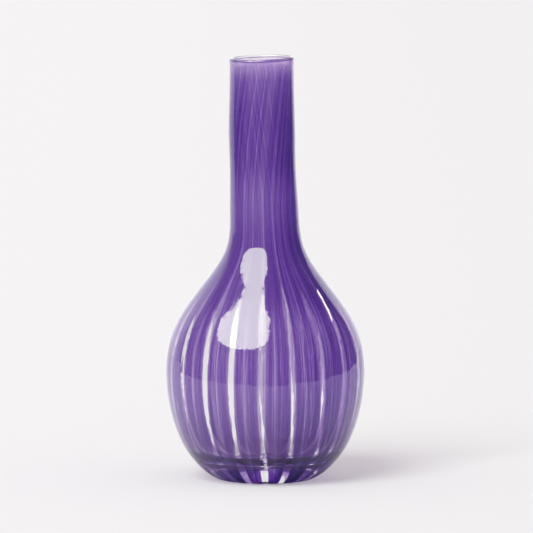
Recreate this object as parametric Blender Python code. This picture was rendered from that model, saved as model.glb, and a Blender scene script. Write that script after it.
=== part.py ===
"""Hand-blown glass vase: a round belly with a long narrow neck, made of three layers of glass.

A thin clear casing is the outside. Twenty purple canes lie under it, side by side in the neck and
parted by clear gaps on the belly. A clear lining with a thick floor is the inside.
Metres, +Z up. The origin is on the ground at the middle of the foot, and the front faces -Y.
"""
import math

import bmesh
import bpy
from mathutils import Vector

# Outside of the vase
HEIGHT = 0.240
FOOT_RADIUS = 0.0255
FOOT_CORNER_RADIUS = 0.004
BELLY_RADIUS = 0.0567
BELLY_HEIGHT = 0.0625
CROWN_RISE = 0.0591
NECK_RADIUS = 0.0196
NECK_FOOT_HEIGHT = 0.148

# Thickness of the glass, from the outside in, and the seam between two layers
CASING_THICKNESS = 0.0008
COLOUR_THICKNESS = 0.0005
LINING_THICKNESS = 0.0006
SEAM = 0.0003
LIP_HEIGHT = 0.003
FLOOR_HEIGHT = 0.015
FLOOR_FALL = 0.005
THIN_WALL_HEIGHT = 0.019

# The purple canes
CANE_COUNT = 20
CANE_END_RADIUS = 0.008
GAP_TIP_HEIGHT = 0.110
GAP_OPEN_HEIGHT = 0.094
NECK_TWIST = math.radians(33)
TWIST_START_HEIGHT = 0.155
FIRST_GAP_TURN = math.radians(-2)
EVEN_OUT_HEIGHT = 0.045

# The neck leans to the left, and its lip dips on that side
LEAN = 0.002
LEAN_START_HEIGHT = 0.130
LEAN_END_HEIGHT = 0.212
LIP_DIP = 0.0006

# Angles and shares of the outline
FOOT_RISE = math.radians(24)
CROWN_END_TURN = math.radians(37.3)
LEAN_POWER = 0.7
TWIST_POWER = 1.25
FOOT_HANDLE_SHARE = 0.38
BELLY_HANDLE_SHARE = 0.32
SHOULDER_HANDLE_SHARE = 0.60
NECK_HANDLE_SHARE = 0.43
NECK_TURN_SHARES = ((0.0, 1.0), (0.34, 0.955), (0.50, 0.967), (0.92, 0.926), (1.0, 0.939))
FLOOR_HANDLE_SHARE = 0.92
WALL_HANDLE_SHARE = 0.75

# Clear part of the pitch at shares of the height of the gaps' tips, from the foot up
CLEAR_SHARES = ((0.0, 0.38), (0.05, 0.36), (0.24, 0.09), (0.5, 0.20), (0.8, 0.23), (1.0, 0.23))

# For each gap: how far it lies off its even place, how much further at the foot, how wide it is and
# how high it reaches
GAP_ROW_SHARES = (
    (-0.01, 0.13, 1.25, 1.0), (0.0, 0.18, 1.0, 1.04), (0.05, 0.33, 1.0, 1.0), (0.08, 0.0, 1.0, 1.0),
    (0.02, 0.0, 1.0, 1.0), (0.30, -0.25, 0.8, 1.0), (0.04, -0.3, 0.6, 0.9), (0.06, -0.4, 0.4, 0.5),
    (0.09, -0.47, 0.35, 0.45), (0.28, -0.39, 0.40, 0.5), (0.23, -0.28, 0.4, 0.4), (0.25, 0.1, 1.15, 0.85),
    (0.29, 0.37, 1.15, 0.85), (0.48, 0.46, 1.1, 0.85), (0.40, 0.35, 1.0, 0.95), (0.22, 0.2, 1.0, 1.0),
    (0.15, -0.1, 1.0, 1.0), (-0.06, 0.0, 1.0, 1.06), (0.03, 0.0, 1.0, 1.06), (-0.02, 0.0, 1.0, 1.0),
)

# Fineness of the mesh
ROUND_STEPS = 40
BELLY_STEPS = 6
CROWN_STEPS = 4
SHOULDER_STEPS = 8
NECK_STEPS = 6
LIP_STEPS = 5
FLOOR_STEPS = 8
CORNER_STEPS = 2
CANE_END_STEPS = 2
CANE_SIDES = 2

WALL = CASING_THICKNESS + SEAM + COLOUR_THICKNESS + SEAM + LINING_THICKNESS
LIP_RADIUS = WALL / 2
SHELF_HEIGHT = HEIGHT - LIP_HEIGHT
LAYER_TOP = SHELF_HEIGHT - SEAM
MERGE = SEAM / 1000


def ease(share):
    """Smooth step from 0 to 1."""
    share = min(max(share, 0), 1)
    return share * share * (3 - 2 * share)


def bezier(start, leave, arrive, end, steps):
    """Points along a cubic curve, without its first one."""
    points = []
    for step in range(1, steps + 1):
        t = step / steps
        s = 1 - t
        points.append(start * s ** 3 + leave * 3 * s * s * t + arrive * 3 * s * t * t + end * t ** 3)
    return points


def between(table, share):
    """Value at a share of the way, eased between the rows of a table."""
    value = table[-1][1]
    for (low, value_low), (high, value_high) in zip(table, table[1:]):
        if low <= share <= high:
            value = value_low + (value_high - value_low) * ease((share - low) / (high - low))
    return value


def neck_radius(height):
    """Outer radius of the slightly wavy neck."""
    return NECK_RADIUS * between(NECK_TURN_SHARES, (height - NECK_FOOT_HEIGHT) / (HEIGHT - NECK_FOOT_HEIGHT))


def outline():
    """Outside of the wall as (radius, height), from the edge of the flat foot to the lip's round."""
    points = [Vector((FOOT_RADIUS, 0))]
    for step in range(1, CORNER_STEPS + 1):
        turn = FOOT_RISE * step / CORNER_STEPS
        rise = FOOT_CORNER_RADIUS * (1 - math.cos(turn))
        points.append(Vector((FOOT_RADIUS + FOOT_CORNER_RADIUS * math.sin(turn), rise)))
    foot = points[-1]
    belly = Vector((BELLY_RADIUS, BELLY_HEIGHT))
    reach = (belly - foot).length
    uphill = Vector((math.cos(FOOT_RISE), math.sin(FOOT_RISE)))
    drop = Vector((0, (BELLY_HEIGHT - foot.y) * BELLY_HANDLE_SHARE))
    points += bezier(foot, foot + uphill * reach * FOOT_HANDLE_SHARE, belly - drop, belly, BELLY_STEPS)

    for step in range(1, CROWN_STEPS + 1):
        turn = CROWN_END_TURN * step / CROWN_STEPS
        points.append(belly + Vector((BELLY_RADIUS * (math.cos(turn) - 1), CROWN_RISE * math.sin(turn))))
    shoulder = points[-1]
    slope = Vector((-BELLY_RADIUS * math.sin(turn), CROWN_RISE * math.cos(turn))).normalized()
    neck = Vector((NECK_RADIUS, NECK_FOOT_HEIGHT))
    rise = NECK_FOOT_HEIGHT - shoulder.y
    leave = shoulder + slope * rise * SHOULDER_HANDLE_SHARE
    arrive = neck - Vector((0, rise * NECK_HANDLE_SHARE))
    points += bezier(shoulder, leave, arrive, neck, SHOULDER_STEPS)

    for step in range(1, NECK_STEPS + 1):
        height = NECK_FOOT_HEIGHT + (LAYER_TOP - NECK_FOOT_HEIGHT) * step / NECK_STEPS
        points.append(Vector((neck_radius(height), height)))
    for height in (SHELF_HEIGHT, HEIGHT - LIP_RADIUS):
        points.append(Vector((neck_radius(height), height)))
    return points


def inset(points, depth):
    """The outline moved inwards, square to itself."""
    moved = []
    for i, point in enumerate(points):
        along = points[min(i + 1, len(points) - 1)] - points[max(i - 1, 0)]
        if i == 0:
            along = Vector((1, 0))
        along.normalize()
        moved.append(point + Vector((-along.y, along.x)) * depth)
    return moved


def cavity(points):
    """Inside of the wall, with the floor that it runs into, which rises to its middle, from the axis up."""
    wall = [point for point in inset(points, WALL) if point.y > THIN_WALL_HEIGHT]
    start = Vector((0, FLOOR_HEIGHT))
    floor_reach = Vector((wall[0].x * FLOOR_HANDLE_SHARE, -FLOOR_FALL))
    downhill = (wall[0] - wall[1]).normalized()
    arrive = wall[0] + downhill * (wall[0].y - FLOOR_HEIGHT) * WALL_HANDLE_SHARE
    return [start] + bezier(start, start + floor_reach, arrive, wall[0], FLOOR_STEPS) + wall[1:]


def settle(point):
    """The lean of the neck and the dip of the lip, the same for every layer."""
    lean = ease((point.z - LEAN_START_HEIGHT) / (LEAN_END_HEIGHT - LEAN_START_HEIGHT)) ** LEAN_POWER
    dip = ease((point.z - NECK_FOOT_HEIGHT) / (HEIGHT - NECK_FOOT_HEIGHT))
    side = point.x / NECK_RADIUS
    return Vector((point.x - LEAN * lean, point.y, point.z + LIP_DIP * side * dip))


def glass(name, colour, roughness):
    material = bpy.data.materials.new(name)
    material.use_nodes = True
    shader = material.node_tree.nodes["Principled BSDF"]
    shader.inputs["Base Color"].default_value = colour
    shader.inputs["Roughness"].default_value = roughness
    shader.inputs["Metallic"].default_value = 0
    return material


def add_piece(name, bm, material):
    """Settles the finished mesh, turns its faces outwards and adds it as a named object."""
    bmesh.ops.remove_doubles(bm, verts=bm.verts, dist=MERGE)
    for vert in bm.verts:
        vert.co = settle(vert.co)
    bmesh.ops.recalc_face_normals(bm, faces=bm.faces)
    mesh = bpy.data.meshes.new(name)
    bm.to_mesh(mesh)
    bm.free()
    mesh.shade_smooth()
    mesh.set_sharp_from_angle(angle=math.radians(40))
    mesh.materials.append(material)
    piece = bpy.data.objects.new(name, mesh)
    bpy.context.scene.collection.objects.link(piece)
    return piece


def turned(name, section, material):
    """A piece turned round the vase's axis from a section that starts and ends on that axis."""
    bm = bmesh.new()
    verts = [bm.verts.new((point.x, 0, point.y)) for point in section]
    edges = [bm.edges.new(pair) for pair in zip(verts, verts[1:])]
    bmesh.ops.spin(
        bm, geom=verts + edges, cent=(0, 0, 0), axis=(0, 0, 1), angle=math.tau,
        steps=ROUND_STEPS, use_merge=True,
    )
    return add_piece(name, bm, material)


def add_casing(points):
    """Outer clear layer: a thin skin under the foot, the outer wall and the rounded lip."""
    hollow = cavity(points)
    outer, inner = points[-1], hollow[-1]
    middle = (outer + inner) / 2
    half = (outer - inner) / 2
    round_top = []
    for step in range(1, LIP_STEPS):
        turn = math.pi * step / LIP_STEPS
        rise = Vector((0, (HEIGHT - middle.y) * math.sin(turn)))
        round_top.append(middle + half * math.cos(turn) + rise)
    shelf = hollow[-2]
    skin = inset(points, CASING_THICKNESS)[:-1]
    section = [Vector((0, 0))] + points + round_top + [inner, shelf] + skin[::-1]
    section.append(Vector((0, CASING_THICKNESS)))
    return turned("clear_casing", section, glass("clear_glass", (0.93, 0.92, 0.95, 1), 0.03))


def add_lining(points):
    """Inner clear layer: the thick floor and the inside of the wall, up to the shelf of the lip."""
    skin = inset(points, WALL - LINING_THICKNESS)[:-2]
    section = [Vector((0, skin[0].y))] + skin + cavity(points)[:-2][::-1]
    return turned("clear_lining", section, glass("clear_lining_glass", (0.95, 0.95, 0.97, 1), 0.03))


def gap_at(index, height):
    """Direction of a clear gap's middle from the front towards +X, and half its angle, at a height."""
    drift, foot_drift, width, reach = GAP_ROW_SHARES[index % CANE_COUNT]
    pitch = math.tau / CANE_COUNT
    to_foot = max(1 - height / BELLY_HEIGHT, 0)
    turn = FIRST_GAP_TURN + (index + drift + foot_drift * to_foot) * pitch
    below_tip = GAP_TIP_HEIGHT * reach - height
    opening = math.sqrt(ease(below_tip / (GAP_TIP_HEIGHT - GAP_OPEN_HEIGHT)))
    wide = 1 + (width - 1) * ease(height / EVEN_OUT_HEIGHT)
    clear = opening * between(CLEAR_SHARES, height / GAP_TIP_HEIGHT) * wide
    return turn, clear * pitch / 2


def twist(height):
    """The canes wind to the right as they climb the neck."""
    climb = max((height - TWIST_START_HEIGHT) / (HEIGHT - TWIST_START_HEIGHT), 0)
    return NECK_TWIST * climb ** TWIST_POWER


def add_cane(index, points, material):
    """One purple cane, from under the foot up the wall to just below the lip."""
    foot_run = [
        Vector((CANE_END_RADIUS + (FOOT_RADIUS - CANE_END_RADIUS) * step / CANE_END_STEPS, 0))
        for step in range(CANE_END_STEPS)
    ]
    path = foot_run + points[:-2]
    outer_depth = CASING_THICKNESS + SEAM
    run = len(foot_run)
    layers = []
    for depth in (outer_depth, outer_depth + COLOUR_THICKNESS):
        inward = Vector((0, depth))
        layers.append([point + inward for point in foot_run] + inset(points, depth)[:-2])
    bm = bmesh.new()
    rings = []
    for i, point in enumerate(path):
        ring = []
        low, low_half = gap_at(index, point.y)
        high, high_half = gap_at(index + 1, point.y)
        seam = SEAM / layers[1][i].x / 2
        start = low + low_half + seam
        stop = high - high_half - seam
        turns = [start + (stop - start) * side / CANE_SIDES for side in range(CANE_SIDES + 1)]
        for layer, order in zip(layers, (turns, turns[::-1])):
            radius, height = layer[i]
            for turn in order:
                way = turn + twist(point.y)
                ring.append(bm.verts.new((radius * math.sin(way), -radius * math.cos(way), height)))
        rings.append(ring)
    for lower, upper in zip(rings, rings[1:]):
        for i in range(len(lower)):
            j = (i + 1) % len(lower)
            bm.faces.new((lower[i], lower[j], upper[j], upper[i]))
    bm.faces.new(rings[0])
    bm.faces.new(rings[-1])
    return add_piece(f"purple_cane_{index + 1:02d}", bm, material)


def build():
    for old in list(bpy.data.objects):
        bpy.data.objects.remove(old)
    points = outline()
    add_casing(points)
    add_lining(points)
    purple = glass("purple_glass", (0.16, 0.06, 0.34, 1), 0.08)
    for index in range(CANE_COUNT):
        add_cane(index, points, purple)


build()
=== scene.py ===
import math

import bmesh
import bpy
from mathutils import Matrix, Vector


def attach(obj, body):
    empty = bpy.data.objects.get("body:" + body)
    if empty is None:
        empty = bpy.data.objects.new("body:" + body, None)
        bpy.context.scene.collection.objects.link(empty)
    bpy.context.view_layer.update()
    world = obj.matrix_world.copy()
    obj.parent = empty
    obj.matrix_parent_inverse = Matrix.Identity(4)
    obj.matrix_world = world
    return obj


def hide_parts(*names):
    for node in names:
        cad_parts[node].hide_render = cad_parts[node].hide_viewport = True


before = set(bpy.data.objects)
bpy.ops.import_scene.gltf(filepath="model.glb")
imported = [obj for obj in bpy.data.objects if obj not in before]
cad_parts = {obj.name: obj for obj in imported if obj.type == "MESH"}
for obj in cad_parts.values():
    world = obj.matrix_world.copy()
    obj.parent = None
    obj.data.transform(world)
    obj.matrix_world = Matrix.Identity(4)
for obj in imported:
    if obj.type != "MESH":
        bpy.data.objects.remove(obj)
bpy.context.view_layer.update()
scene = bpy.context.scene
scene.view_settings.view_transform = "Standard"

# The camera
# It stands five metres off with a long lens and looks slightly down on the vase. A ray may cross
# many surfaces of glass, because the thick floor would otherwise go black.
camera_distance = 5.0
camera_height = 0.66
aim = Vector((0.0007, 0, 0.1209))
view_width = 0.3022
camera_data = bpy.data.cameras.new("camera")
camera_data.sensor_width = 36
camera_place = Vector((aim.x, -camera_distance, camera_height))
camera_data.lens = camera_data.sensor_width * (aim - camera_place).length / view_width
camera_data.clip_end = 100
camera = bpy.data.objects.new("camera", camera_data)
camera.location = camera_place
camera.rotation_euler = (aim - camera_place).to_track_quat("-Z", "Y").to_euler()
scene.collection.objects.link(camera)
scene.camera = camera
scene.cycles.max_bounces = 40
scene.cycles.transmission_bounces = 40
scene.cycles.glossy_bounces = 20
scene.cycles.transparent_max_bounces = 48

# The room
# A pale sweep stands behind the table in a dark room. A large soft box hangs over the front left,
# and a narrow light stands behind on the right. Reflections alone see the dark room and the lights;
# behind and through the glass the sweep's even tone shows, and an even fill reaches the table.
box_middle = Vector((-0.379, -0.529, 0.759))
box_across = Vector((0.813, -0.583, 0))
box_up = Vector((0.442, 0.617, 0.651))
box_outline = (
    (-0.595, -0.05), (-0.585, -0.17), (-0.50, -0.32), (-0.30, -0.42), (0.0, -0.462), (0.20, -0.44),
    (0.44, -0.372), (0.58, -0.25), (0.575, -0.02), (0.50, 0.16), (0.38, 0.33), (0.25, 0.425),
    (0.20, 0.435), (-0.34, 0.262), (-0.50, 0.205), (-0.575, 0.12),
)
soft_box = [box_middle + box_across * across + box_up * up for across, up in box_outline]
soft_box_strength = 12.2
soft_box_colour = (0.93, 1.0, 0.74, 1)
ragged_edge = 0.24
ragged_scale, ragged_detail, ragged_roughness = 15, 2, 0.85
right_light = [(0.665, 0.505, 0.575), (0.655, 0.50, 0.50), (0.80, 0.335, 0.455), (0.82, 0.36, 0.52)]
right_light_strength = 14.0
light_edge = 0.012
sweep_strength = 1.6
sweep_left_turn, sweep_left_fade = math.radians(66), 0.40
sweep_right_turn, sweep_right_fade = math.radians(43), 0.05
room_strength = 0.2
room_colour = (1.0, 0.99, 0.995, 1)
pale = 0.925
fill_strength = 0.42


def add_node(tree, kind, **values):
    node = tree.nodes.new(kind)
    for name, value in values.items():
        setattr(node, name, value)
    return node


def feed(tree, value, socket):
    """Links an output to a socket, or sets a plain value on it."""
    if isinstance(value, bpy.types.NodeSocket):
        tree.links.new(value, socket)
    else:
        socket.default_value = value


def calculate(tree, operation, first, second=None, clamp=False):
    """A Math node; its inputs are numbers or sockets."""
    node = add_node(tree, "ShaderNodeMath", operation=operation, use_clamp=clamp)
    feed(tree, first, node.inputs[0])
    if second is not None:
        feed(tree, second, node.inputs[1])
    return node.outputs[0]


def product(tree, value, *factors):
    """Numbers or sockets multiplied together."""
    for factor in factors:
        value = calculate(tree, "MULTIPLY", value, factor)
    return value


def vector_step(tree, operation, first, second=None):
    """A Vector Math node; its inputs are vectors or sockets."""
    node = add_node(tree, "ShaderNodeVectorMath", operation=operation)
    feed(tree, first, node.inputs[0])
    if second is not None:
        feed(tree, second, node.inputs[1])
    return node.outputs["Value" if operation in ("DOT_PRODUCT", "LENGTH") else "Vector"]


def rise(tree, value, low, high):
    """0 at low, 1 at high, smooth between."""
    node = add_node(tree, "ShaderNodeMapRange", interpolation_type="SMOOTHSTEP")
    tree.links.new(value, node.inputs["Value"])
    node.inputs["From Min"].default_value = low
    node.inputs["From Max"].default_value = high
    return node.outputs["Result"]


def choose(tree, factor, off, on, kind="FLOAT"):
    """off where the factor is 0, on where it is 1."""
    node = add_node(tree, "ShaderNodeMix", data_type=kind)
    places, result = ((0, 2, 3), 0) if kind == "FLOAT" else ((0, 6, 7), 2)
    for socket, value in zip(places, (factor, off, on)):
        feed(tree, value, node.inputs[socket])
    return node.outputs[result]


def only_mirrored(tree, path):
    """1 for rays that come off a gloss and weren't bent through glass."""
    return calculate(
        tree, "SUBTRACT", path.outputs["Is Glossy Ray"], path.outputs["Is Transmission Ray"], clamp=True
    )


def light_window(tree, direction, corners):
    """1 inside a window of the sky, given by the directions of its corners."""
    middle = sum((Vector(corner).normalized() for corner in corners), Vector((0, 0, 0)))
    insides = []
    for first, second in zip(corners, corners[1:] + corners[:1]):
        side = Vector(first).cross(Vector(second)).normalized()
        if side.dot(middle) < 0:
            side.negate()
        insides.append(rise(tree, vector_step(tree, "DOT_PRODUCT", direction, side), 0, light_edge))
    return product(tree, *insides)


world = bpy.data.worlds.new("studio")
scene.world = world
world.use_nodes = True
sky = world.node_tree
sky.nodes.clear()
direction = add_node(sky, "ShaderNodeTexCoord").outputs["Generated"]
level = vector_step(sky, "NORMALIZE", vector_step(sky, "MULTIPLY", direction, (1, 1, 0)))
sweep_sides = []
for side, turn, fade in ((-1, sweep_left_turn, sweep_left_fade), (1, sweep_right_turn, sweep_right_fade)):
    inwards = (-side * math.cos(turn), math.sin(turn), 0)
    sweep_sides.append(rise(sky, vector_step(sky, "DOT_PRODUCT", level, inwards), 0, fade))
sweep = product(sky, *sweep_sides, sweep_strength - room_strength)
reflected = calculate(sky, "ADD", sweep, room_strength)

unevenness = add_node(sky, "ShaderNodeTexNoise")
feed(sky, direction, unevenness.inputs["Vector"])
feed(sky, ragged_scale, unevenness.inputs["Scale"])
feed(sky, ragged_detail, unevenness.inputs["Detail"])
feed(sky, ragged_roughness, unevenness.inputs["Roughness"])
ragged = vector_step(sky, "SUBTRACT", unevenness.outputs["Color"], (0.5, 0.5, 0.5))
ragged = vector_step(sky, "MULTIPLY", ragged, (ragged_edge, ragged_edge, ragged_edge))
in_box = light_window(sky, vector_step(sky, "ADD", direction, ragged), soft_box)
in_right_light = light_window(sky, direction, right_light)
for window, strength in ((in_box, soft_box_strength), (in_right_light, right_light_strength)):
    reflected = calculate(sky, "ADD", reflected, product(sky, window, strength))

path = add_node(sky, "ShaderNodeLightPath")
seen = calculate(sky, "MAXIMUM", path.outputs["Is Camera Ray"], path.outputs["Is Transmission Ray"])
mirrored = only_mirrored(sky, path)
background = add_node(sky, "ShaderNodeBackground")
sky_colour = choose(sky, product(sky, in_box, mirrored), room_colour, soft_box_colour, "RGBA")
sky.links.new(sky_colour, background.inputs["Color"])
brightness = choose(sky, seen, choose(sky, mirrored, fill_strength, reflected), pale)
sky.links.new(brightness, background.inputs["Strength"])
world_output = add_node(sky, "ShaderNodeOutputWorld")
sky.links.new(background.outputs[0], world_output.inputs["Surface"])

# The table top
# A white laminate top, a little warmer and darker to the right by painted shade. It ends at an
# outline that shows in reflections only, where the sweep meets it on both sides and the dark room lies
# beyond.
table_half_width = 40
table_drop = 0.0002
table_outline = (
    (-0.70, 0.4), (-0.63, -0.02), (-0.48, -0.28), (-0.18, -0.42), (0.36, -0.42), (0.77, -0.12), (1.05, 0.4),
)
outline_edge = 0.02
floor_left_turn, floor_right_turn = math.radians(66), math.radians(45)
floor_edge = 0.05
# Close to the foot of the vase the reflected table is in shadow
contact_start, contact_end = 0.02, 0.06
# Painted shade: the laminate turns a little warmer and darker towards the right
laminate_left, laminate_shaded_right = (0.888, 0.874, 0.881, 1), (0.862, 0.848, 0.855, 1)
laminate_shade_run = 0.2
# Light from the front that only the table's reflection shows, from a little way off the foot
front_light_strength = 0.45
front_light_start, front_light_end = 0.04, 0.14


def split(tree, vector):
    """The three parts of a vector."""
    node = add_node(tree, "ShaderNodeSeparateXYZ")
    tree.links.new(vector, node.inputs[0])
    return node.outputs["X"], node.outputs["Y"], node.outputs["Z"]


bm = bmesh.new()
bmesh.ops.create_grid(bm, x_segments=1, y_segments=1, size=table_half_width)
mesh = bpy.data.meshes.new("table_top")
bm.to_mesh(mesh)
bm.free()
table_top = bpy.data.objects.new("table_top", mesh)
table_top.location.z = -table_drop
scene.collection.objects.link(table_top)

white_laminate = bpy.data.materials.new("white_laminate")
white_laminate.use_nodes = True
tree = white_laminate.node_tree
tree.nodes.clear()
place = add_node(tree, "ShaderNodeTexCoord").outputs["Object"]
east, north, _ = split(tree, place)
insides = []
for (x_start, y_start), (x_end, y_end) in zip(table_outline, table_outline[1:]):
    run = math.hypot(x_end - x_start, y_end - y_start)
    inwards = ((y_start - y_end) / run, (x_end - x_start) / run, 0)
    from_corner = vector_step(tree, "SUBTRACT", place, (x_start, y_start, 0))
    insides.append(rise(tree, vector_step(tree, "DOT_PRODUCT", from_corner, inwards), 0, outline_edge))
on_table = product(tree, *insides)
for side, turn in ((-1, floor_left_turn), (1, floor_right_turn)):
    outwards = product(tree, east, side)
    into_floor = calculate(tree, "SUBTRACT", product(tree, north, math.tan(turn)), outwards)
    on_side = calculate(tree, "GREATER_THAN", outwards, 0)
    half_floor = product(tree, rise(tree, into_floor, 0, floor_edge), on_side)
    on_table = calculate(tree, "MAXIMUM", on_table, half_floor)

path = add_node(tree, "ShaderNodeLightPath")
mirrored = only_mirrored(tree, path)
from_axis = vector_step(tree, "LENGTH", place)
past_contact = rise(tree, from_axis, contact_start, contact_end)
off_table = calculate(tree, "SUBTRACT", 1, product(tree, on_table, past_contact))
laminate = add_node(tree, "ShaderNodeBsdfDiffuse")
# Painted shade towards the right of the table
to_right = rise(tree, east, -laminate_shade_run, laminate_shade_run)
tree.links.new(choose(tree, to_right, laminate_left, laminate_shaded_right, "RGBA"), laminate.inputs["Color"])
front_light = add_node(tree, "ShaderNodeEmission")
far_enough = rise(tree, from_axis, front_light_start, front_light_end)
tree.links.new(product(tree, mirrored, front_light_strength, far_enough), front_light.inputs["Strength"])
lit_laminate = add_node(tree, "ShaderNodeAddShader")
tree.links.new(laminate.outputs[0], lit_laminate.inputs[0])
tree.links.new(front_light.outputs[0], lit_laminate.inputs[1])
dark_room = add_node(tree, "ShaderNodeEmission")
dark_room.inputs["Color"].default_value = (room_strength, room_strength, room_strength, 1)
tree.links.new(past_contact, dark_room.inputs["Strength"])
mixed = add_node(tree, "ShaderNodeMixShader")
tree.links.new(product(tree, mirrored, off_table), mixed.inputs[0])
tree.links.new(lit_laminate.outputs[0], mixed.inputs[1])
tree.links.new(dark_room.outputs[0], mixed.inputs[2])
output = add_node(tree, "ShaderNodeOutputMaterial")
tree.links.new(mixed.outputs[0], output.inputs["Surface"])
mesh.materials.append(white_laminate)

# The flag
# A small dark card, held close to the shoulder of the vase, that paints shade into a reflection. It
# cuts the narrow light's reflection short, shows the tone of the dark room, and is seen by reflections only.
flag_middle = Vector((0.0565, 0.0001, 0.1425))
flag_facing = Vector((0.701, 0.441, 0.561))
flag_half_width, flag_half_height = 0.006, 0.0088
bm = bmesh.new()
bmesh.ops.create_grid(bm, x_segments=1, y_segments=1, size=1)
bmesh.ops.scale(bm, vec=(flag_half_width, flag_half_height, 0), verts=bm.verts)
mesh = bpy.data.meshes.new("flag")
bm.to_mesh(mesh)
bm.free()
flag = bpy.data.objects.new("flag", mesh)
flag.location = flag_middle
flag.rotation_euler = flag_facing.to_track_quat("Z", "Y").to_euler()
flag.visible_camera = flag.visible_diffuse = flag.visible_transmission = flag.visible_shadow = False
scene.collection.objects.link(flag)

painted_shade_card = bpy.data.materials.new("painted_shade_card")
painted_shade_card.use_nodes = True
tree = painted_shade_card.node_tree
tree.nodes.clear()
# The card glows at the dark room's tone: painted shade in the narrow light's reflection
card_shade_tone = add_node(tree, "ShaderNodeEmission")
card_shade_tone.inputs["Color"].default_value = (room_strength, room_strength, room_strength, 1)
output = add_node(tree, "ShaderNodeOutputMaterial")
tree.links.new(card_shade_tone.outputs[0], output.inputs["Surface"])
mesh.materials.append(painted_shade_card)

# The key light
# A soft lamp high up in front and somewhat to the left. It gives the pale shadow that runs back to
# the right. Its own reflection is left to the soft box.
key_energy = 2.64
key_spread = math.radians(32)
key_way = Vector((0.36, 0.58, -0.73))
key_data = bpy.data.lights.new("key_light", "SUN")
key_data.energy = key_energy
key_data.angle = key_spread
key_light = bpy.data.objects.new("key_light", key_data)
key_light.rotation_euler = key_way.to_track_quat("-Z", "Y").to_euler()
key_light.visible_glossy = False
key_light.visible_transmission = False
scene.collection.objects.link(key_light)

# The body of clear glass
# The clear casing and the clear lining are gathered over each other and fused, so they show as one
# body of glass with a thick floor. It is blown, rolled to shape, and fire-polished at the lip.
height = 0.240
foot_radius = 0.0255
foot_corner_radius = 0.004
foot_rise = math.radians(24)
belly_radius = 0.0567
belly_height = 0.0625
crown_rise = 0.0591
crown_end_turn = math.radians(37.3)
neck_radius = 0.0196
neck_foot_height = 0.148
neck_turn_shares = ((0.0, 1.0), (0.34, 0.955), (0.50, 0.967), (0.92, 0.926), (1.0, 0.939))
foot_handle_share = 0.38
belly_handle_share = 0.32
shoulder_handle_share = 0.60
neck_handle_share = 0.43
wall = 0.0025
floor_height = 0.015
floor_fall = 0.005
thin_wall_height = 0.019
floor_handle_share = 0.92
wall_handle_share = 0.75
lean = 0.002
lean_start_height = 0.130
lean_end_height = 0.212
lean_power = 0.7
lip_dip = 0.0006
round_steps = 128
corner_steps, belly_steps, crown_steps, shoulder_steps, neck_steps = 6, 56, 30, 46, 60
floor_steps, lip_steps = 48, 12
outside_soften_rounds, hollow_soften_rounds = 24, 12
clear_tint, clear_lamp_tint = (0.963, 0.957, 0.970, 1), (0.948, 0.941, 0.949, 1)
clear_bend = 1.5
relief_unit = 0.00001
near_floor_start, near_floor_end = 0.034, 0.018
# The relief's layers: how fine around and along the vase, how high, and whether only near the floor
relief_layers = (
    (160, 160, 3, False),  # ripples
    (420, 24, 1.5, False),  # ridges that run up the wall
    (70, 330, 3, False),  # brushing round the vase
    (40, 520, 3.5, True),  # rings at the thick floor
)


def ease(share):
    """Smooth step from 0 to 1."""
    share = min(max(share, 0), 1)
    return share * share * (3 - 2 * share)


def between(table, share):
    """Value at a share of the way, eased between the rows of a table."""
    value = table[-1][1]
    for (low, value_low), (high, value_high) in zip(table, table[1:]):
        if low <= share <= high:
            value = value_low + (value_high - value_low) * ease((share - low) / (high - low))
    return value


def bezier(start, leave, arrive, end, steps):
    """Points along a cubic curve, without its first one."""
    points = []
    for step in range(1, steps + 1):
        t = step / steps
        s = 1 - t
        points.append(start * s ** 3 + leave * 3 * s * s * t + arrive * 3 * s * t * t + end * t ** 3)
    return points


def soften(points, rounds):
    """Evens out the bends of an outline and leaves its foot alone."""
    for _ in range(rounds):
        bends = zip(points, points[1:], points[2:])
        evened = [(before + here * 2 + after) / 4 for before, here, after in bends]
        points = points[:1] + [
            here.lerp(even, ease((here.y - foot_corner_radius) / foot_corner_radius))
            for here, even in zip(points[1:-1], evened)
        ] + points[-1:]
    return points


def outline():
    """Outside of the wall as (radius, height), from the edge of the foot to the lip's round."""
    points = [Vector((foot_radius, 0))]
    for step in range(1, corner_steps + 1):
        turn = foot_rise * step / corner_steps
        points.append(Vector((
            foot_radius + foot_corner_radius * math.sin(turn), foot_corner_radius * (1 - math.cos(turn))
        )))
    foot = points[-1]
    belly = Vector((belly_radius, belly_height))
    reach = (belly - foot).length
    uphill = Vector((math.cos(foot_rise), math.sin(foot_rise)))
    drop = Vector((0, (belly_height - foot.y) * belly_handle_share))
    points += bezier(foot, foot + uphill * reach * foot_handle_share, belly - drop, belly, belly_steps)
    for step in range(1, crown_steps + 1):
        turn = crown_end_turn * step / crown_steps
        points.append(belly + Vector((belly_radius * (math.cos(turn) - 1), crown_rise * math.sin(turn))))
    shoulder = points[-1]
    slope = Vector((-belly_radius * math.sin(turn), crown_rise * math.cos(turn))).normalized()
    neck = Vector((neck_radius, neck_foot_height))
    climb = neck_foot_height - shoulder.y
    leave = shoulder + slope * climb * shoulder_handle_share
    arrive = neck - Vector((0, climb * neck_handle_share))
    points += bezier(shoulder, leave, arrive, neck, shoulder_steps)
    top = height - wall / 2
    for step in range(1, neck_steps + 1):
        at = neck_foot_height + (top - neck_foot_height) * step / neck_steps
        turned_share = between(neck_turn_shares, (at - neck_foot_height) / (height - neck_foot_height))
        points.append(Vector((neck_radius * turned_share, at)))
    return soften(points, outside_soften_rounds)


def inset(points, depth):
    """The outline moved inwards, square to itself."""
    moved = []
    for i, point in enumerate(points):
        along = points[min(i + 1, len(points) - 1)] - points[max(i - 1, 0)]
        if i == 0:
            along = Vector((1, 0))
        along.normalize()
        moved.append(point + Vector((-along.y, along.x)) * depth)
    return moved


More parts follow.
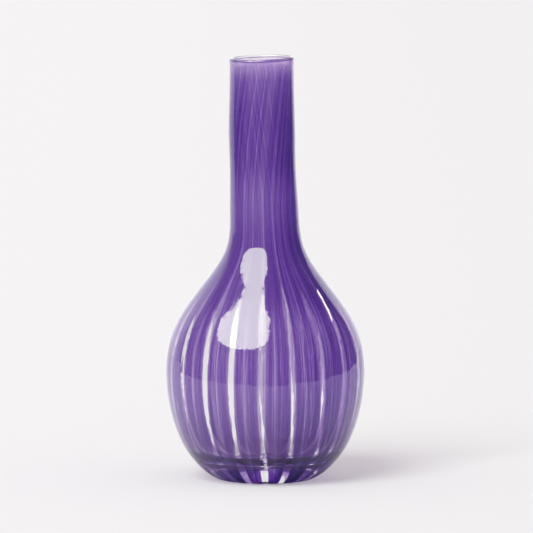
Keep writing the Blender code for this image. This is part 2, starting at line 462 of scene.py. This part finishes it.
def settle(point):
    """The lean of the neck and the dip of the lip."""
    share = ease((point.z - lean_start_height) / (lean_end_height - lean_start_height)) ** lean_power
    dip = ease((point.z - neck_foot_height) / (height - neck_foot_height))
    return Vector((point.x - lean * share, point.y, point.z + lip_dip * dip * point.x / neck_radius))


def add_piece(name, bm, material):
    mesh = bpy.data.meshes.new(name)
    bm.to_mesh(mesh)
    bm.free()
    mesh.shade_smooth()
    mesh.materials.append(material)
    piece = bpy.data.objects.new(name, mesh)
    scene.collection.objects.link(piece)
    return piece


def add_glass(name, tint, lamp_tint, bend, clarity):
    """Glass that bends light, and lets lamp light straight through with a tint of its own."""
    material = bpy.data.materials.new(name)
    material.use_nodes = True
    tree = material.node_tree
    shader = tree.nodes["Principled BSDF"]
    shader.inputs["Base Color"].default_value = tint
    shader.inputs["Roughness"].default_value = 0
    shader.inputs["IOR"].default_value = bend
    shader.inputs["Transmission Weight"].default_value = clarity
    lamp_way = add_node(tree, "ShaderNodeBsdfTransparent")
    lamp_way.inputs["Color"].default_value = lamp_tint
    path = add_node(tree, "ShaderNodeLightPath")
    mixed = add_node(tree, "ShaderNodeMixShader")
    tree.links.new(path.outputs["Is Shadow Ray"], mixed.inputs[0])
    tree.links.new(shader.outputs[0], mixed.inputs[1])
    tree.links.new(lamp_way.outputs[0], mixed.inputs[2])
    tree.links.new(mixed.outputs[0], tree.nodes["Material Output"].inputs["Surface"])
    return material, tree, shader


streak_group = bpy.data.node_groups.new("streaks", "ShaderNodeTree")
streak_group.interface.new_socket(name="Vector", in_out="INPUT", socket_type="NodeSocketVector")
for name in ("Around", "Along", "Detail"):
    streak_group.interface.new_socket(name=name, in_out="INPUT", socket_type="NodeSocketFloat")
streak_group.interface.new_socket(name="Strength", in_out="OUTPUT", socket_type="NodeSocketFloat")
given = add_node(streak_group, "NodeGroupInput").outputs
stretch = add_node(streak_group, "ShaderNodeCombineXYZ")
for axis, name in (("X", "Around"), ("Y", "Around"), ("Z", "Along")):
    streak_group.links.new(given[name], stretch.inputs[axis])
stretched = vector_step(streak_group, "MULTIPLY", given["Vector"], stretch.outputs[0])
noise = add_node(streak_group, "ShaderNodeTexNoise")
for name, value in (("Vector", stretched), ("Scale", 1), ("Detail", given["Detail"])):
    feed(streak_group, value, noise.inputs[name])
result = add_node(streak_group, "NodeGroupOutput")
streak_group.links.new(noise.outputs[0], result.inputs["Strength"])


def streaks(tree, vector, around, along, detail):
    """Noise in the glass, drawn out one way; larger numbers make it finer that way."""
    node = add_node(tree, "ShaderNodeGroup", node_tree=streak_group)
    for name, value in (("Vector", vector), ("Around", around), ("Along", along), ("Detail", detail)):
        feed(tree, value, node.inputs[name])
    return node.outputs["Strength"]


outside = outline()
inside = [point for point in inset(outside, wall) if point.y > thin_wall_height]
floor_middle = Vector((0, floor_height))
downhill = (inside[0] - inside[1]).normalized()
hollow = [floor_middle] + bezier(
    floor_middle,
    floor_middle + Vector((inside[0].x * floor_handle_share, -floor_fall)),
    inside[0] + downhill * (inside[0].y - floor_height) * wall_handle_share,
    inside[0], floor_steps,
) + inside[1:]
hollow = hollow[:1] + soften(hollow[1:], hollow_soften_rounds)
lip_middle = (outside[-1] + hollow[-1]) / 2
lip_half = (outside[-1] - hollow[-1]) / 2
lip = []
for step in range(1, lip_steps):
    turn = math.pi * step / lip_steps
    lip.append(lip_middle + lip_half * math.cos(turn) + Vector((0, (height - lip_middle.y) * math.sin(turn))))
section = [Vector((0, 0)), Vector((foot_radius / 2, 0))] + outside + lip + hollow[::-1]

bm = bmesh.new()
verts = [bm.verts.new((point.x, 0, point.y)) for point in section]
edges = [bm.edges.new(pair) for pair in zip(verts, verts[1:])]
bmesh.ops.spin(
    bm, geom=verts + edges, cent=(0, 0, 0), axis=(0, 0, 1), angle=math.tau,
    steps=round_steps, use_merge=True,
)
bmesh.ops.remove_doubles(bm, verts=bm.verts, dist=0.000001)
for vert in bm.verts:
    vert.co = settle(vert.co)
bmesh.ops.recalc_face_normals(bm, faces=bm.faces)

clear_glass, tree, shader = add_glass("clear_glass", clear_tint, clear_lamp_tint, clear_bend, 1)
place = add_node(tree, "ShaderNodeTexCoord").outputs["Object"]
near_floor = rise(tree, split(tree, place)[2], near_floor_start, near_floor_end)
relief = None
for around, along, high, floor_only in relief_layers:
    layer = product(tree, streaks(tree, place, around, along, 1), high)
    if floor_only:
        layer = product(tree, layer, near_floor)
    relief = layer if relief is None else calculate(tree, "ADD", relief, layer)
bump = add_node(tree, "ShaderNodeBump")
bump.inputs["Distance"].default_value = relief_unit
bump.inputs["Strength"].default_value = 1
tree.links.new(relief, bump.inputs["Height"])
tree.links.new(bump.outputs["Normal"], shader.inputs["Normal"])
glass_body = add_piece("glass_body", bm, clear_glass)
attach(glass_body, "root")
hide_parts("clear_casing", "clear_lining")

# The purple canes
# Twenty strips of purple glass are sealed in the wall. In the neck they lie edge to edge and wind
# slightly; on the belly clear gaps part them, and they run on under the thick floor.
cane_count = 20
cane_depth = 0.0012
cane_thickness = 0.00025
cane_end_radius = 0.008
cane_top_height = 0.2391
cane_seam = 0.00004
cane_rows, cane_columns = 110, 8
gap_tip_height = 0.110
gap_open_height = 0.094
first_gap_turn = math.radians(-2)
neck_twist = math.radians(33)
twist_start_height = 0.155
twist_power = 1.25
even_out_height = 0.045
gap_clear_shares = ((0.0, 0.38), (0.05, 0.36), (0.24, 0.12), (0.36, 0.18), (0.5, 0.20), (1.0, 0.23))
# For each gap: how far it lies off its even place, how much further at the foot, how wide it is,
# how high it reaches, and where the pale thread lies in the cane after it
gap_row_shares = (
    (-0.01, 0.13, 1.25, 1.0, 0.385), (0.0, 0.18, 1.0, 1.04, 0.335), (0.05, 0.33, 1.0, 1.0, 0.31),
    (0.08, 0.0, 1.0, 1.0, 0.31), (0.02, 0.0, 1.0, 1.0, 0.33), (0.30, -0.25, 0.8, 1.0, 0.33),
    (0.04, -0.3, 0.6, 0.9, 0.30), (0.06, -0.4, 0.4, 0.50, 0.28), (0.09, -0.47, 0.35, 0.45, 0.28),
    (0.28, -0.39, 0.40, 0.50, 0.2), (0.23, -0.28, 0.4, 0.40, 0.55), (0.25, 0.25, 1.15, 0.85, 0.52),
    (0.29, 0.37, 1.15, 0.85, 0.50), (0.48, 0.46, 1.1, 0.85, 0.5), (0.40, 0.35, 1.0, 0.95, 0.5),
    (0.22, 0.2, 1.0, 1.0, 0.5), (0.15, -0.1, 1.0, 1.0, 0.5), (-0.06, 0.0, 1.0, 1.06, 0.49),
    (0.03, 0.0, 1.0, 1.06, 0.44), (-0.03, 0.06, 1.0, 1.0, 0.43),
)
gap_bows = {0: -0.065, 10: 0.18}
purple_tint, purple_lamp_tint = (0.42, 0.245, 0.655, 1), (0.88, 0.86, 0.877, 1)
purple_bend, purple_clarity = 1.0, 0.90
# The colour's streaks: how fine around and along a cane, how detailed, and how strong
fine_streaks, fine_strength = (46, 1.8, 2), 1.3
broad_streaks, broad_strength = (9, 3.0, 1), 0.4
even_strength = 0.20
# Pairs are where a change starts and where it is full. Hairs and the canes' edges are paler
hair_streaks, hair_range, hair_change = (75, 1.2, 1), (0.54, 0.68), -0.45
edge_shares, edge_change = (0.40, 0.5), -0.45
# Pale threads on the belly: how far beside the middle one, how wide, how much paler. Streaks break
# all but the middle one
pale_threads = (
    (0, 0.045, -0.65), (0.075, 0.018, -0.60), (-0.115, 0.018, -0.58), (0.20, 0.018, -0.52),
    (-0.26, 0.018, -0.45),
)
thread_foot_shares, thread_top_shares = (0.05, 0.15), (0.50, 0.42)
break_streaks, break_range = (14, 9, 1), (0.36, 0.56)
# Denser colour towards the sides; on the right it is painted shade, away from the light. The
# directions where it starts and is full, how much denser
front_density = 0.84
side_density_and_shade = ((-0.10, 0.25, 0.14), (0.25, 0.90, 0.35), (-0.50, -0.95, 0.25))
# Darker from the shoulder up, but for a paler patch half way up the neck
belly_strength, neck_extra = 1.06, 0.25
shoulder_heights = (0.085, 0.108)
patch_foot_heights, patch_top_heights = (0.130, 0.157), (0.182, 0.163)
# Darker low down, as painted shade: at the front of the foot, and round the belly's lower end but less over
# the floor
foot_front_heights, foot_front_turns, foot_front_change = (0.012, 0.007), (-0.72, -0.88), 1.9
lower_heights, lower_change, painted_low_dimming = (0.052, 0.022), 0.16, -0.14
over_floor_heights, over_floor_share = (0.017, 0.010), 0.8
# Paler towards the lip: the heights where it starts and is full, how much paler
lip_fades = ((0.200, 0.243, -0.35), (0.226, 0.2375, -0.47))
# The canes' ends, measured from their top edge: nearly clear at the back as a painted reflection of the
# soft box in the far inner wall, with colour bunched last
end_clear_start, end_clear_full, end_clear_change = 0.0052, 0.0030, -0.9
end_back_places = (-0.002, 0.008)
end_bunch_start, end_bunch_full, end_bunch_strength = 0.00045, 0.00025, 1.3
# Thin colour is a little greener and less blue
thin_start_range, thin_end_range = (1.25, 0.65), (0.30, 0.75)
thin_green, thin_blue = 0.17, -0.02


def gap_at(index, at):
    """Direction of a clear gap's middle from the front towards +X, and half its angle, at a height."""
    drift, foot_drift, width, reach, _ = gap_row_shares[index % cane_count]
    pitch = math.tau / cane_count
    to_foot = max(1 - at / belly_height, 0)
    bow = gap_bows.get(index % cane_count, 0) * 4 * to_foot * (1 - to_foot)
    turn = first_gap_turn + (index + drift + foot_drift * to_foot + bow) * pitch
    below_tip = gap_tip_height * reach - at
    opening = math.sqrt(ease(below_tip / (gap_tip_height - gap_open_height)))
    wide = 1 + (width - 1) * ease(at / even_out_height)
    clear = between(gap_clear_shares, at / gap_tip_height)
    return turn, opening * clear * wide * pitch / 2


def along_path(path, lengths, share):
    """Point at a share of a path's length."""
    target = share * lengths[-1]
    for (start, end), (low, high) in zip(zip(path, path[1:]), zip(lengths, lengths[1:])):
        if low <= target <= high:
            return start.lerp(end, (target - low) / max(high - low, 1e-9))
    return path[-1]


def change_where(tree, value, mask, change):
    """A value times 1 plus the change where the mask is 1, and as it was where the mask is 0."""
    return product(tree, value, calculate(tree, "ADD", product(tree, mask, change), 1))


cane_line = [point for point in inset(outside, cane_depth) if point.y < cane_top_height]
cane_line = [Vector((cane_end_radius, cane_depth))] + cane_line
lengths = [0]
for start, end in zip(cane_line, cane_line[1:]):
    lengths.append(lengths[-1] + (end - start).length)
row_points = [along_path(cane_line, lengths, row / cane_rows) for row in range(cane_rows + 1)]

purple_glass, tree, shader = add_glass(
    "purple_glass", purple_tint, purple_lamp_tint, purple_bend, purple_clarity
)
flow = add_node(tree, "ShaderNodeAttribute", attribute_name="flow").outputs["Vector"]
to_right, to_back, _ = split(tree, flow)
across, up, _ = split(tree, add_node(tree, "ShaderNodeUVMap", uv_map="cane").outputs[0])
_, back_here, height_here = split(tree, add_node(tree, "ShaderNodeTexCoord").outputs["Object"])

fine = product(tree, streaks(tree, flow, *fine_streaks), fine_strength)
broad = product(tree, streaks(tree, flow, *broad_streaks), broad_strength)
density = calculate(tree, "ADD", calculate(tree, "ADD", fine, broad), even_strength)
hairs = rise(tree, streaks(tree, flow, *hair_streaks), *hair_range)
density = change_where(tree, density, hairs, hair_change)
from_middle = calculate(tree, "ABSOLUTE", calculate(tree, "SUBTRACT", across, 0.5))
density = change_where(tree, density, rise(tree, from_middle, *edge_shares), edge_change)

on_belly = product(tree, rise(tree, up, *thread_top_shares), rise(tree, up, *thread_foot_shares))
broken = rise(tree, streaks(tree, flow, *break_streaks), *break_range)
for aside, width, change in pale_threads:
    from_thread = calculate(tree, "ABSOLUTE", calculate(tree, "SUBTRACT", across, 0.5 + aside))
    thread = product(tree, rise(tree, from_thread, width, width / 3), on_belly)
    if aside:
        thread = product(tree, thread, broken)
    density = change_where(tree, density, thread, change)

# Denser colour towards the sides, with painted shade on the right side, away from the light
thickness = front_density
for low, high, extra in side_density_and_shade:
    thickness = calculate(tree, "ADD", product(tree, rise(tree, to_right, low, high), extra), thickness)
density = product(tree, density, thickness)
pale_patch = product(
    tree, rise(tree, height_here, *patch_foot_heights), rise(tree, height_here, *patch_top_heights)
)
on_neck = calculate(tree, "SUBTRACT", rise(tree, height_here, *shoulder_heights), pale_patch)
density = product(tree, density, calculate(tree, "ADD", product(tree, on_neck, neck_extra), belly_strength))
# Painted shade at the front of the foot
painted_foot_shade = product(
    tree, rise(tree, height_here, *foot_front_heights), rise(tree, to_back, *foot_front_turns)
)
density = change_where(tree, density, painted_foot_shade, foot_front_change)
# Painted shade round the belly's lower end, less over the thick floor
over_floor = rise(tree, height_here, *over_floor_heights)
off_floor = calculate(tree, "SUBTRACT", 1, product(tree, over_floor, over_floor_share))
painted_low_shade = product(tree, rise(tree, height_here, *lower_heights), off_floor)
density = change_where(tree, density, painted_low_shade, lower_change)

for low, high, change in lip_fades:
    density = change_where(tree, density, rise(tree, height_here, low, high), change)
# Painted reflection: the canes' ends at the back lose their colour so the far inner wall looks lit
back_end_painted_reflection = product(
    tree, rise(tree, up, 1 - end_clear_start / lengths[-1], 1 - end_clear_full / lengths[-1]),
    rise(tree, back_here, *end_back_places),
)
density = change_where(tree, density, back_end_painted_reflection, end_clear_change)
bunched = rise(tree, up, 1 - end_bunch_start / lengths[-1], 1 - end_bunch_full / lengths[-1])
density = calculate(tree, "ADD", density, product(tree, bunched, end_bunch_strength))

tinted = add_node(tree, "ShaderNodeGamma")
tinted.inputs["Color"].default_value = purple_tint
tree.links.new(density, tinted.inputs["Gamma"])
# The painted shade low down also greys the colour
dimmed = add_node(tree, "ShaderNodeVectorMath", operation="SCALE")
tree.links.new(tinted.outputs[0], dimmed.inputs[0])
tree.links.new(change_where(tree, 1, painted_low_shade, painted_low_dimming), dimmed.inputs["Scale"])
thin = product(tree, rise(tree, density, *thin_start_range), rise(tree, density, *thin_end_range))
greyed = add_node(tree, "ShaderNodeCombineXYZ")
greyed.inputs["X"].default_value = 1
tree.links.new(change_where(tree, 1, thin, thin_green), greyed.inputs["Y"])
tree.links.new(change_where(tree, 1, thin, thin_blue), greyed.inputs["Z"])
softened = vector_step(tree, "MULTIPLY", dimmed.outputs[0], greyed.outputs[0])
tree.links.new(softened, shader.inputs["Base Color"])

for index in range(cane_count):
    thread_share = gap_row_shares[index][4]
    bm = bmesh.new()
    bmesh.ops.create_grid(bm, x_segments=cane_columns, y_segments=cane_rows, size=0.5)
    flow_layer = bm.verts.layers.float_vector.new("flow")
    uv_layer = bm.loops.layers.uv.new("cane")
    for vert in bm.verts:
        share_across, share_up = vert.co.x + 0.5, vert.co.y + 0.5
        point = row_points[round(share_up * cane_rows)]
        low, low_half = gap_at(index, point.y)
        high, high_half = gap_at(index + 1, point.y)
        seam = cane_seam / point.x / 2
        low += low_half + seam
        high -= high_half + seam
        turn = low + (high - low) * share_across
        vert[flow_layer] = (math.sin(turn), -math.cos(turn), share_up)
        climb = max((point.y - twist_start_height) / (height - twist_start_height), 0)
        turn += neck_twist * climb ** twist_power
        if share_across < thread_share:
            beside_thread = share_across / thread_share / 2
        else:
            beside_thread = 1 - (1 - share_across) / (1 - thread_share) / 2
        for loop in vert.link_loops:
            loop[uv_layer].uv = (beside_thread, share_up)
        vert.co = settle(Vector((point.x * math.sin(turn), -point.x * math.cos(turn), point.y)))
    bmesh.ops.recalc_face_normals(bm, faces=bm.faces)
    cane = add_piece(f"cane_{index + 1:02d}", bm, purple_glass)
    solid = cane.modifiers.new("thickness", "SOLIDIFY")
    solid.thickness = cane_thickness
    solid.offset = 0
    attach(cane, "root")
    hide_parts(f"purple_cane_{index + 1:02d}")
